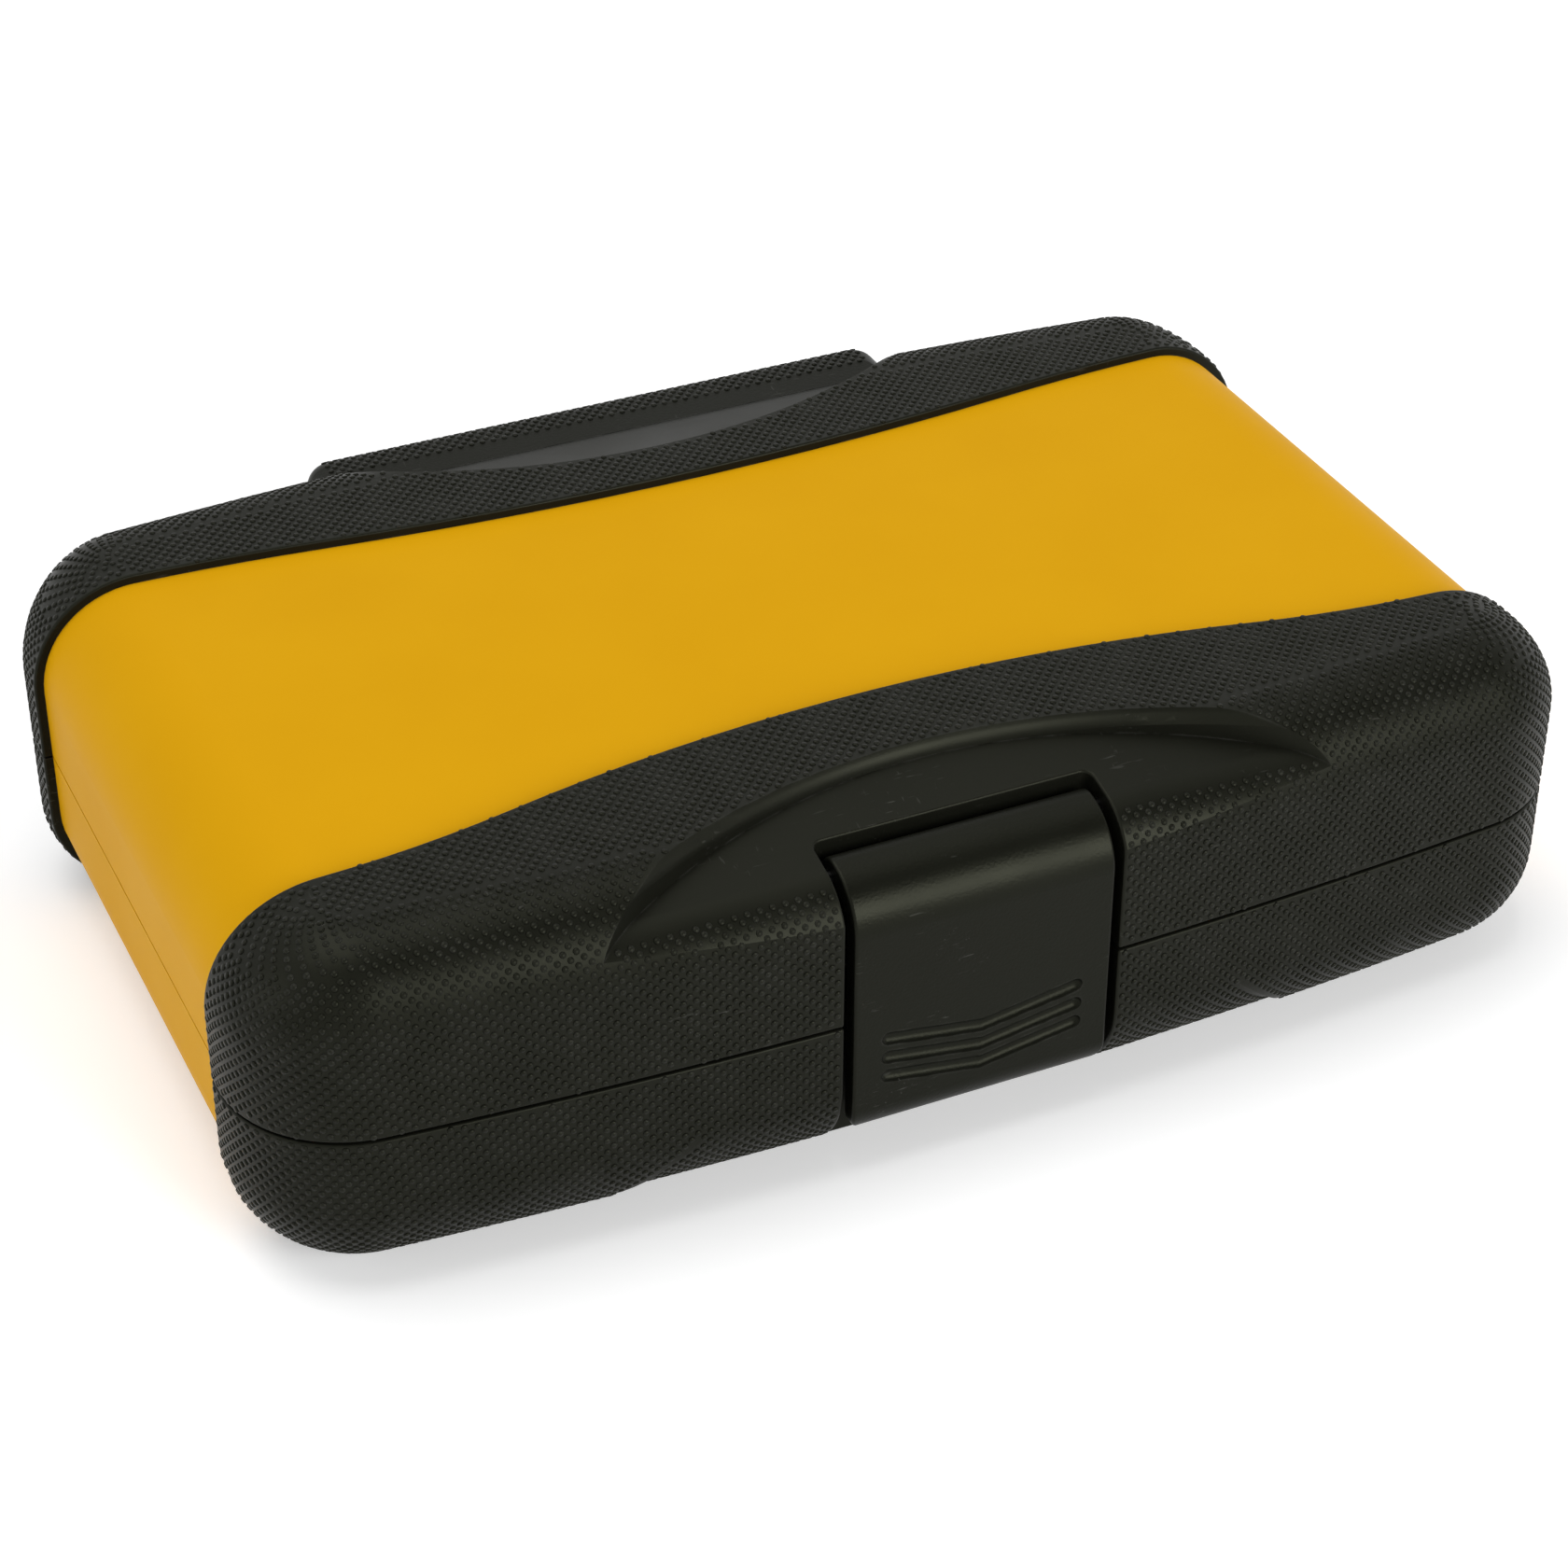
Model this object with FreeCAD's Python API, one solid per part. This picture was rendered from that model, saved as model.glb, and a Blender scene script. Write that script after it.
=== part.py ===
"""Hinged tool case: two rounded shells with grip bumpers, a rear pin hinge, a front latch and a tool tray.

Lengths are in millimetres. X runs along the case, the latch faces -Y, Z points up.
Every piece is built about the middle of its own rim plane and is moved to the shared frame when it is saved.
"""
import math
import os

import FreeCAD
import Part
from FreeCAD import Vector

# Shells
shell_width = 207.0
shell_depth = 135.0
edge_bow = 5.6
corner_radius = 17.5
lid_height = 27.0
base_height = 24.8
lid_end_round = 10.8
lid_side_round = 15.6
base_round = 14.0
shell_wall = 2.4
parting_gap = 0.4
tongue_height = 1.6
tongue_thickness = 1.0
tongue_clearance = 0.25
lid_rib_count = 3
lid_rib_height = 2.0
lid_rib_thickness = 1.6

# Bumpers
bumper_thickness = 1.5
bumper_edge_round = 0.4
front_bumper_reach = 37.1
front_bumper_dip = 11.0
rear_bumper_reach = 32.0
rear_bumper_dip = 5.8
bumper_wave_margin = 8.5
bumper_wave_turn_share = 0.62
foot_drop = 1.0
foot_length = 45.0
foot_ramp = 18.0
foot_reach = 22.5

# Scoops in the lid bumpers
scoop_reach = 21.3
scoop_arch_radius = 94.0
scoop_lip = 2.3
scoop_lip_round = 3.1
scoop_slope = 13.0
scoop_nose_round = 9.0
scoop_nose_lead = 0.3

# Latch
latch_width = 40.6
latch_side_gap = 1.4
latch_sink = 0.4
latch_thickness = 2.6
latch_edge_round = 0.5
latch_drop = 21.0
latch_toe_round = 5.0
latch_corner_round = 4.0
latch_pivot_setback = 8.4
latch_barrel_radius = 3.0
latch_barrel_gap = 0.4
latch_pin_radius = 1.25
latch_pocket_depth = 5.5
pocket_lining = 0.8
pocket_corner_round = 1.5
latch_shelf_gap = 0.8
groove_count = 3
groove_first = 4.2
groove_pitch = 3.3
groove_half_span = 14.8
groove_point = 2.3
groove_width = 2.3
groove_depth = 0.8
hook_length = 30.0
hook_height = 2.7
hook_depth = 1.2
hook_below_keeper = 0.8

# Latch keeper
keeper_length = 30.0
keeper_drop = 4.5
keeper_height = 3.5
keeper_hook_gap = 0.3
keeper_nose_round = 0.5
keeper_peg_radius = 1.5
keeper_peg_spacing = 20.0

# Rear hinge
hinge_length = 102.0
hinge_end_margin = 5.0
hinge_reach = 7.0
hinge_inset = 5.0
lid_block_height = 22.8
lid_block_ramp = 0.5
base_block_height = 16.0
hinge_block_round = 4.0
knuckle_count = 5
knuckle_radius = 4.0
knuckle_gap = 0.4
hinge_pin_radius = 1.5
running_clearance = 0.05

# Hinge screws, driven from inside each shell
hinge_screw_count = 4
hinge_screw_end = 13.0
lid_screw_height = 10.5
base_screw_drop = 7.4
hinge_screw_length = 8.0
hinge_screw_seat = 0.4

# Screws in general
screw_shank_radius = 1.5
screw_head_radius = 2.75
screw_head_height = 1.8
screw_head_round = 0.6
screw_slot_width = 0.8
screw_slot_depth = 0.9
screw_slot_span = 3.2

# Tray
tray_drop = 2.0
tray_deck = 1.8
tray_clearance = 0.4
tray_wall = 1.6
tray_side_margin = 14.0
tray_end_margin = 10.0
well_web = 4.0
well_round = 4.0
socket_well_count = 6
socket_well_length = 22.0
socket_well_depth = 14.0
ratchet_well_length = 24.0
ratchet_well_depth = 15.0
bin_count = 2
bin_depth = 16.5
boss_radius = 3.5
boss_inset = 6.8
boss_spread = 25.0
tray_screw_length = 8.0

# Cuts run past their faces by this much
overrun = 1.0

# An edge counts as sharp from this turn on, tested this far from it
sharp_angle = 60.0
probe_step = 0.05

# Sizes that follow
half_width = shell_width / 2
half_depth = shell_depth / 2
bow_radius = (half_width ** 2 + edge_bow ** 2) / (2 * edge_bow)
front_face = -(half_depth + bumper_thickness)
rear_face = half_depth + bumper_thickness
span = shell_width + shell_depth
slope = math.radians(scoop_slope)
pocket_half_width = latch_width / 2 + latch_side_gap
hinge_y = rear_face + hinge_reach
axis_below_lid = parting_gap / 2
floor_drop = base_height + bumper_thickness + foot_drop
frame_shift = (front_face + hinge_y + knuckle_radius) / 2
tray_inset = shell_wall + tray_clearance
deck_bottom = -(tray_drop + tray_deck)

X_AXIS = Vector(1, 0, 0)
Y_AXIS = Vector(0, 1, 0)
Z_AXIS = Vector(0, 0, 1)
ORIGIN = Vector(0, 0, 0)


# Small helpers
def box(x0, x1, y0, y1, z0, z1):
    """Block between two opposite corners."""
    return Part.makeBox(x1 - x0, y1 - y0, z1 - z0, Vector(x0, y0, z0))


def rod(radius, x0, x1, y, z):
    """Round bar along X."""
    return Part.makeCylinder(radius, x1 - x0, Vector(x0, y, z), X_AXIS)


def side_profile(edges, half):
    """Closed outline in the YZ plane, extruded evenly to both sides of x = 0."""
    face = Part.Face(Part.Wire(edges))
    face.translate(Vector(-half, 0, 0))
    return face.extrude(Vector(2 * half, 0, 0))


def line(a, b):
    return Part.LineSegment(a, b).toShape()


def arc(a, b, c):
    return Part.Arc(a, b, c).toShape()


def flip(shape):
    """Same shape on the other side of the rim plane."""
    return shape.mirror(ORIGIN, Z_AXIS)


def swap_ends(shape):
    """Front shape carried over to the rear."""
    return shape.mirror(ORIGIN, Y_AXIS)


def on_surface(solid, point):
    """True where a point lies on the skin of a solid."""
    tolerance = probe_step / 10
    return solid.isInside(point, tolerance, True) and not solid.isInside(point, tolerance, False)


def midpoint(edge):
    """Point halfway along an edge."""
    return edge.valueAt((edge.FirstParameter + edge.LastParameter) / 2)


def sharp_edges(shape, wanted):
    """Convex edges of a solid with a marked corner, out of those that a test wants."""
    found = []
    for edge in shape.Edges:
        faces = shape.ancestorsOfType(edge, Part.Face)
        if len(faces) != 2 or not wanted(edge):
            continue
        point = midpoint(edge)
        first, second = [face.normalAt(*face.Surface.parameter(point)) for face in faces]
        if math.degrees(first.getAngle(second)) < sharp_angle:
            continue
        apart = (first - second).normalize()
        if not shape.isInside(point + apart * probe_step, probe_step / 10, False):
            found.append(edge)
    return found


# Shell forms
def edge_y(x, grow):
    """Half depth of the bowed outline at a given x."""
    return half_depth - bow_radius + math.sqrt((bow_radius + grow) ** 2 - x ** 2)


def outline_prism(grow, height):
    """Plan outline with bowed long sides and round corners, standing on the rim plane."""
    x = half_width + grow
    y = edge_y(x, grow)
    middle = half_depth + grow
    corners = [Vector(-x, -y, 0), Vector(x, -y, 0), Vector(x, y, 0), Vector(-x, y, 0)]
    wire = Part.Wire([
        arc(corners[0], Vector(0, -middle, 0), corners[1]),
        line(corners[1], corners[2]),
        arc(corners[2], Vector(0, middle, 0), corners[3]),
        line(corners[3], corners[0]),
    ])
    prism = Part.Face(wire).extrude(Vector(0, 0, height))
    upright = [e for e in prism.Edges if e.BoundBox.ZLength > height / 2]
    return prism.makeFillet(corner_radius + grow, upright)


def half_form(grow, height, end_round, side_round):
    """Outline prism with a rounded outer edge: one radius at the ends, one at the sides, blended between."""
    prism = outline_prism(grow, height)
    doc = FreeCAD.newDocument("rounding")
    solid = doc.addObject("Part::Feature", "solid")
    solid.Shape = prism
    rounded = doc.addObject("Part::Fillet", "rounded")
    rounded.Base = solid
    radii = []
    for index, edge in enumerate(solid.Shape.Edges, 1):
        bounds = edge.BoundBox
        if bounds.ZMin < height / 2:
            continue
        first = edge.valueAt(edge.FirstParameter)
        last = edge.valueAt(edge.LastParameter)
        if bounds.XLength > half_width:
            radii.append((index, end_round, end_round))
        elif bounds.XLength < bounds.YLength / half_width:
            radii.append((index, side_round, side_round))
        elif abs(first.x) < abs(last.x):
            radii.append((index, end_round, side_round))
        else:
            radii.append((index, side_round, end_round))
    rounded.Edges = radii
    doc.recompute()
    form = rounded.Shape.copy()
    FreeCAD.closeDocument(doc.Name)
    return form


# Scoops
def scoop_line(sink):
    """Points of the scooped section in the YZ plane: end of the slope, nose arc and front plane."""
    front = front_face - scoop_nose_lead + sink
    radius = scoop_nose_round - sink
    start_y = front_face + scoop_reach
    start_z = lid_height + bumper_thickness - scoop_lip - sink / math.cos(slope)
    centre_y = front + radius
    line_z = start_z + math.tan(slope) * (centre_y - start_y)
    centre_z = line_z - radius / math.cos(slope)
    centre = Vector(0, centre_y, centre_z)
    lean = (math.pi / 2 + slope) / 2
    return {
        "front": Vector(0, front, centre_z),
        "nose": centre + Vector(0, -math.cos(lean - slope), math.sin(lean - slope)) * radius,
        "top": centre + Vector(0, -math.sin(slope), math.cos(slope)) * radius,
        "down_slope": Vector(0, -math.cos(slope), -math.sin(slope)),
        "normal": Vector(0, -math.sin(slope), math.cos(slope)),
    }


def scooped_section(sink):
    """Body under the scooped section, as wide as the case."""
    marks = scoop_line(sink)
    front, top = marks["front"], marks["top"]
    rear = top - marks["down_slope"] * shell_depth
    foot_front = Vector(0, front.y, -shell_depth)
    foot_rear = Vector(0, rear.y, -shell_depth)
    edges = [
        line(foot_front, front),
        arc(front, marks["nose"], top),
        line(top, rear),
        line(rear, foot_rear),
        line(foot_rear, foot_front),
    ]
    return side_profile(edges, shell_width)


def front_scoop(sink):
    """Almond hollow down to the scooped section; its lip follows an arch and is rounded at the top."""
    top = lid_height + bumper_thickness
    floor = top - scoop_lip
    radius = scoop_arch_radius + sink
    rounding = max(scoop_lip_round - sink, 0)
    edges = [
        line(Vector(0, 0, -top), Vector(radius, 0, -top)),
        line(Vector(radius, 0, -top), Vector(radius, 0, floor)),
    ]
    rim = Vector(radius, 0, floor)
    if rounding > 0:
        bend = rounding * (1 - math.sqrt(1 / 2))
        crest = Vector(radius + rounding, 0, floor + rounding)
        edges.append(arc(rim, Vector(radius + bend, 0, floor + rounding - bend), crest))
        rim = crest
    high = Vector(rim.x, 0, 2 * top)
    edges.append(line(rim, high))
    edges.append(line(high, Vector(0, 0, 2 * top)))
    edges.append(line(Vector(0, 0, 2 * top), Vector(0, 0, -top)))
    hollow = Part.Face(Part.Wire(edges)).revolve(ORIGIN, Z_AXIS, 360)
    hollow.translate(Vector(0, front_face + scoop_reach - scoop_arch_radius, 0))
    return hollow.cut(scooped_section(sink))


# Latch pocket
def pivot_point():
    """Latch pivot, just under the scooped section."""
    marks = scoop_line(latch_sink)
    y = front_face + latch_pivot_setback
    rise = (y - marks["top"].y) * math.tan(slope)
    return Vector(0, y, marks["top"].z + rise - latch_barrel_radius / math.cos(slope))


def latch_channel(grow):
    """Straight channel in which the latch lies, through both shells."""
    x = pocket_half_width + grow
    back = front_face + latch_pocket_depth + grow
    return box(-x, x, -span, back, -span, span)


def pivot_well(grow):
    """Deeper upper end of the channel, round the latch barrel."""
    pivot = pivot_point()
    x = pocket_half_width + grow
    back = pivot.y + latch_barrel_radius + latch_barrel_gap + grow
    bottom = pivot.z - latch_barrel_radius - latch_shelf_gap - grow
    well = box(-x, x, -span, back, bottom, span)
    upright = [e for e in well.Edges if e.BoundBox.ZLength > span / 2 and e.BoundBox.YMin > -half_depth]
    return well.makeFillet(pocket_corner_round + grow, upright)


def pocket_inset(grow):
    """Room round the latch pocket, which the bumper lines, at a distance from the shell surface."""
    lining = pocket_lining if grow < bumper_thickness else 0
    return max(-grow, lining)


def lid_form(grow):
    """Outside of the lid at a given distance from the shell surface, with scoops and latch pocket."""
    form = half_form(grow, lid_height + grow, lid_end_round + grow, lid_side_round + grow)
    scoop = front_scoop(bumper_thickness - grow)
    inset = pocket_inset(grow)
    return form.cut([scoop, swap_ends(scoop), latch_channel(inset), pivot_well(inset)])


def base_form(grow):
    """Outside of the base at a given distance from the shell surface, with the latch channel."""
    form = flip(half_form(grow, base_height + grow, base_round + grow, base_round + grow))
    return form.cut(latch_channel(pocket_inset(grow)))


def rim_prism(grow, height):
    """Plan of the rim at a given distance from the shell surface."""
    return outline_prism(grow, height).cut(latch_channel(pocket_inset(grow)))


# Screws
def pan_screw(length):
    """Cross-slotted pan head on the plane z = 0 with its shank pointing down."""
    head = Part.makeCylinder(screw_head_radius, screw_head_height)
    rim = [e for e in head.Edges if e.BoundBox.ZMin > screw_head_height / 2]
    head = head.makeFillet(screw_head_round, rim)
    shank = Part.makeCylinder(screw_shank_radius, length, Vector(0, 0, -length))
    arm, half = screw_slot_span / 2, screw_slot_width / 2
    bottom = screw_head_height - screw_slot_depth
    slots = box(-arm, arm, -half, half, bottom, screw_head_height + overrun)
    slots = slots.fuse(box(-half, half, -arm, arm, bottom, screw_head_height + overrun))
    return head.fuse(shank).cut(slots).removeSplitter()


def hinge_screw_places(height):
    """Seat points of the hinge screws on the inside of the rear wall."""
    first = -(hinge_length / 2 - hinge_screw_end)
    step = -2 * first / (hinge_screw_count - 1)
    xs = [first + step * i for i in range(hinge_screw_count)]
    return [Vector(x, edge_y(x, -shell_wall) + hinge_screw_seat, height) for x in xs]


def hinge_screws(height):
    """Row of screws pointing to the rear."""
    screws = []
    for place in hinge_screw_places(height):
        screw = pan_screw(hinge_screw_length)
        screw.rotate(ORIGIN, X_AXIS, 90)
        screw.translate(place)
        screws.append(screw)
    return Part.makeCompound(screws)


def hinge_screw_cuts(height):
    """Spot faces and shank holes for the row of screws."""
    cuts = []
    for place in hinge_screw_places(height):
        reach = place - Y_AXIS * shell_wall
        cuts.append(Part.makeCylinder(screw_head_radius + tongue_clearance, shell_wall, reach, Y_AXIS))
        cuts.append(Part.makeCylinder(screw_shank_radius, hinge_screw_length, place, Y_AXIS))
    return cuts


# Tray layout
def tray_rows():
    """Front and rear limits of the tray rows: bins, ratchet well, socket wells."""
    limit = edge_y(half_width - shell_wall, -shell_wall) - tray_end_margin
    socket_front = limit - socket_well_length
    ratchet_rear = socket_front - well_web
    ratchet_front = ratchet_rear - ratchet_well_length
    return {
        "bins": (-limit, ratchet_front - well_web),
        "ratchet": (ratchet_front, ratchet_rear),
        "sockets": (socket_front, limit),
    }


def row_cells(count):
    """Left and right limits of equal wells side by side."""
    limit = half_width - shell_wall - tray_side_margin
    width = (2 * limit - well_web * (count - 1)) / count
    return [(-limit + i * (width + well_web), -limit + i * (width + well_web) + width) for i in range(count)]


def well_list():
    """All wells of the tray: plan limits and depth."""
    rows = tray_rows()
    wells = [(cell, rows["sockets"], socket_well_depth) for cell in row_cells(socket_well_count)]
    wells += [(cell, rows["ratchet"], ratchet_well_depth) for cell in row_cells(1)]
    wells += [(cell, rows["bins"], bin_depth) for cell in row_cells(bin_count)]
    return wells


def well_block(cell, row, depth, grow):
    """Round-cornered block from the deck top down to the floor of one well."""
    x0, x1 = cell[0] - grow, cell[1] + grow
    y0, y1 = row[0] - grow, row[1] + grow
    block = box(x0, x1, y0, y1, -(tray_drop + depth + grow), -tray_drop)
    upright = [e for e in block.Edges if e.BoundBox.ZLength > depth / 2]
    return block.makeFillet(well_round + grow, upright)


def boss_places():
    """Screw bosses beside the wells."""
    x = half_width - shell_wall - boss_inset
    return [Vector(sx * x, sy * boss_spread, deck_bottom) for sx in (-1, 1) for sy in (-1, 1)]


# Bumper plans
def bumper_plan(reach, dip):
    """Plan region ahead of the wavy bumper edge: an arc in the middle and a returning arc to each side."""
    inner = front_face + reach
    outer = inner - dip
    run = half_width - bumper_wave_margin
    turn = run * bumper_wave_turn_share
    rise = dip * (1 - bumper_wave_turn_share)
    middle = Vector(0, inner, 0)
    crest = Vector(turn, outer + rise, 0)
    bend = Vector((turn + run) / 2, outer + rise / 4, 0)
    foot = Vector(run, outer, 0)
    left_crest, left_bend, left_foot = [Vector(-p.x, p.y, 0) for p in (crest, bend, foot)]
    far_left = Vector(-span, outer, 0)
    far_right = Vector(span, outer, 0)
    wire = Part.Wire([
        line(far_left, left_foot),
        arc(left_foot, left_bend, left_crest),
        arc(left_crest, middle, crest),
        arc(crest, bend, foot),
        line(foot, far_right),
        line(far_right, Vector(span, -span, 0)),
        line(Vector(span, -span, 0), Vector(-span, -span, 0)),
        line(Vector(-span, -span, 0), far_left),
    ])
    region = Part.Face(wire).extrude(Vector(0, 0, 2 * span))
    region.translate(Vector(0, 0, -span))
    return region


def softened(skin, core, walls):
    """Bumper with its outer edges rounded along the rim plane and along the given walls."""
    def wanted(edge):
        if any(core.distToShape(end)[0] < bumper_thickness / 2 for end in edge.Vertexes):
            return False
        point = midpoint(edge)
        return abs(point.z) < probe_step or any(on_surface(wall, point) for wall in walls)

    return skin.makeFillet(bumper_edge_round, sharp_edges(skin, wanted))


def front_region():
    return bumper_plan(front_bumper_reach, front_bumper_dip)


def rear_region():
    return swap_ends(bumper_plan(rear_bumper_reach, rear_bumper_dip))


# Hinge
def knuckle_spans(first):
    """Every second knuckle along the hinge, starting at the given one."""
    start = -(hinge_length / 2 - hinge_end_margin)
    pitch = -2 * start / knuckle_count
    return [(start + i * pitch, start + (i + 1) * pitch) for i in range(first, knuckle_count, 2)]


def block_form(height):
    """Rounded hinge block behind the rear wall, standing on the rim plane."""
    half = hinge_length / 2
    block = box(-half, half, rear_face - hinge_inset, hinge_y, 0, height)
    outer = []
    for edge in block.Edges:
        bounds = edge.BoundBox
        on_rear = bounds.YMin > hinge_y - hinge_block_round
        on_top = bounds.ZMin > height / 2
        upright = bounds.ZLength > height / 2
        if on_rear and (on_top or upright):
            outer.append(edge)
        elif on_top and bounds.YLength > hinge_reach:
            outer.append(edge)
    return block.makeFillet(hinge_block_round, outer)


def lid_block_form():
    """Hinge block of the lid; ahead of the rear face its top runs down to the floor of the scoop."""
    front, top = rear_face - hinge_inset, lid_block_height
    above = top + overrun
    edges = [
        line(Vector(0, front, top - lid_block_ramp), Vector(0, rear_face, top)),
        line(Vector(0, rear_face, top), Vector(0, rear_face, above)),
        line(Vector(0, rear_face, above), Vector(0, front, above)),
        line(Vector(0, front, above), Vector(0, front, top - lid_block_ramp)),
    ]
    return block_form(top).cut(side_profile(edges, hinge_length))


def hinge_block(block, first, bore, shell, screw_cuts):
    """Hinge block with its own knuckles, relieved for the knuckles of the other half."""
    z = -axis_below_lid
    clear = knuckle_gap / 2
    relief = []
    for x0, x1 in knuckle_spans(1 - first):
        relief.append(rod(knuckle_radius + knuckle_gap, x0 - clear, x1 + clear, hinge_y, z))
    block = block.cut(relief)
    own = []
    for x0, x1 in knuckle_spans(first):
        own.append(rod(knuckle_radius, x0 + clear, x1 - clear, hinge_y, z))
    block = block.fuse(own)
    half = hinge_length / 2
    return block.cut([shell, rod(bore, -half, half, hinge_y, z)] + screw_cuts)


def make_hinge_pin():
    half = hinge_length / 2 - hinge_end_margin
    return rod(hinge_pin_radius, -half, half, hinge_y, axis_below_lid)


# Base pieces
def make_base_shell(outer):
    shell = outer.cut(base_form(-shell_wall))
    tongue = rim_prism(tongue_thickness - shell_wall, tongue_height + shell_wall)
    tongue = tongue.cut(rim_prism(-shell_wall, tongue_height + shell_wall))
    tongue.translate(Vector(0, 0, -shell_wall))
    floor = base_form(-shell_wall / 2)
    bosses = []
    for place in boss_places():
        post = Part.makeCylinder(boss_radius, base_height, place, -Z_AXIS)
        bosses.append(post.common(floor))
    shell = shell.fuse([tongue] + bosses)
    cuts = []
    for place in boss_places():
        depth = tray_screw_length - tray_deck
        cuts.append(Part.makeCylinder(screw_shank_radius, depth, place, -Z_AXIS))
    return shell.cut(cuts + keeper_pegs() + hinge_screw_cuts(-base_screw_drop))


def foot_zone(low, shoulder):
    """Room of the right front foot: a slanting plane leads from its toe up to where the wall rounds under."""
    front = front_face - overrun
    toe = Vector(half_width - foot_length, front, -(low + foot_drop))
    bend = Vector(toe.x - foot_ramp, front, shoulder - low)
    corners = [
        Vector(bend.x, front, 0),
        bend,
        toe,
        Vector(toe.x, front, -span),
        Vector(span, front, -span),
        Vector(span, front, 0),
    ]
    edges = [line(a, b) for a, b in zip(corners, corners[1:] + corners[:1])]
    return Part.Face(Part.Wire(edges)).extrude(Vector(0, foot_reach + overrun, 0))


def base_bumper_form():
    """Outside of the base bumpers, with a foot let down at each corner."""
    low = base_height + bumper_thickness
    shoulder = base_round + bumper_thickness
    deep = flip(half_form(bumper_thickness, low + foot_drop, shoulder, shoulder)).cut(latch_channel(0))
    zones = [foot_zone(low, shoulder)]
    zones += [zone.mirror(ORIGIN, X_AXIS) for zone in zones]
    zones += [swap_ends(zone) for zone in zones]
    feet = [deep.common(zone) for zone in zones]
    return base_form(bumper_thickness).fuse(feet).removeSplitter()


def keeper_pegs():
    y = front_face + latch_pocket_depth
    z = -(keeper_drop + keeper_height / 2)
    places = [Vector(side * keeper_peg_spacing / 2, y, z) for side in (-1, 1)]
    return [Part.makeCylinder(keeper_peg_radius, shell_wall, place, Y_AXIS) for place in places]


def make_keeper():
    """Rounded bar on the channel wall, held by two pegs."""
    back = front_face + latch_pocket_depth
    hook_tip = front_face - scoop_nose_lead + latch_sink + latch_thickness + hook_depth
    half = keeper_length / 2
    bar = box(-half, half, hook_tip + keeper_hook_gap, back, -(keeper_drop + keeper_height), -keeper_drop)
    nose = [e for e in bar.Edges if e.BoundBox.XLength > half and e.BoundBox.YMax < back - keeper_nose_round]
    return bar.makeFillet(keeper_nose_round, nose).fuse(keeper_pegs())


def make_tray():
    """Deck with hanging wells, screwed to the bosses."""
    deck = rim_prism(-tray_inset, tray_deck)
    deck.translate(Vector(0, 0, deck_bottom))
    wells = well_list()
    tray = deck.fuse([well_block(cell, row, depth, tray_wall) for cell, row, depth in wells])
    cuts = [well_block(cell, row, depth, 0) for cell, row, depth in wells]
    for place in boss_places():
        cuts.append(Part.makeCylinder(screw_shank_radius, tray_deck, place, Z_AXIS))
    return tray.cut(cuts).removeSplitter()


def make_tray_screws():
    screws = []
    for place in boss_places():
        screw = pan_screw(tray_screw_length)
        screw.translate(place + Z_AXIS * tray_deck)
        screws.append(screw)
    return Part.makeCompound(screws)


# Lid pieces
def make_lid_shell(outer):
    shell = outer.cut(lid_form(-shell_wall))
    ceiling = lid_form(-shell_wall / 2)
    low = lid_height - shell_wall - lid_rib_height
    half = lid_rib_thickness / 2
    ribs = []
    for i in range(lid_rib_count):
        x = shell_width * ((i + 1) / (lid_rib_count + 1) - 1 / 2)
        rib = box(x - half, x + half, -half_depth, half_depth, low, lid_height)
        ribs.append(rib.common(ceiling))
    shell = shell.fuse(ribs)
    grow = tongue_thickness + tongue_clearance - shell_wall
    rebate = rim_prism(grow, tongue_height + tongue_clearance - parting_gap)
    return shell.cut([rebate, make_latch_pin()] + hinge_screw_cuts(lid_screw_height))


def make_latch_pin():
    pivot = pivot_point()
    reach = pocket_half_width + shell_wall
    return rod(latch_pin_radius, -reach, reach, pivot.y, pivot.z)


# Latch
def latch_plate():
    """Curved plate that follows the scoop section, with a barrel at its upper end and a round toe."""
    outer = scoop_line(latch_sink)
    inner = scoop_line(latch_sink + latch_thickness)
    pivot = pivot_point()
    radius = latch_barrel_radius
    normal = outer["normal"]
    crown = pivot + normal * radius
    under_crown = crown - normal * latch_thickness
    toe = latch_toe_round
    toe_centre = Vector(0, outer["front"].y + toe, toe - latch_drop)
    toe_start = Vector(0, outer["front"].y, toe_centre.z)
    reach = toe - latch_thickness
    toe_end = Vector(0, inner["front"].y, toe_centre.z - math.sqrt(toe ** 2 - reach ** 2))
    bend = math.acos(reach / toe) / 2
    toe_mid = toe_centre - Vector(0, math.cos(bend), math.sin(bend)) * toe
    edges = [
        line(crown, outer["top"]),
        arc(outer["top"], outer["nose"], outer["front"]),
        line(outer["front"], toe_start),
        arc(toe_start, toe_mid, toe_end),
        line(toe_end, inner["front"]),
        arc(inner["front"], inner["nose"], inner["top"]),
        line(inner["top"], under_crown),
        line(under_crown, crown),
    ]
    return side_profile(edges, latch_width / 2).common(latch_front_form())


def latch_body():
    """Plate and barrel, both rounded along the sides of the outer face."""
    half = latch_width / 2
    pivot = pivot_point()
    nose = scoop_line(latch_sink)["nose"]
    plate = latch_plate()
    sides = []
    for edge in plate.Edges:
        offset = midpoint(edge) - nose
        if math.hypot(offset.y, offset.z) < probe_step:
            sides.append(edge)
    barrel = rod(latch_barrel_radius, -half, half, pivot.y, pivot.z)
    ends = [e for e in barrel.Edges if abs(abs(e.CenterOfMass.x) - half) < probe_step]
    return plate.makeFillet(latch_edge_round, sides).fuse(barrel.makeFillet(latch_edge_round, ends))


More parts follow.
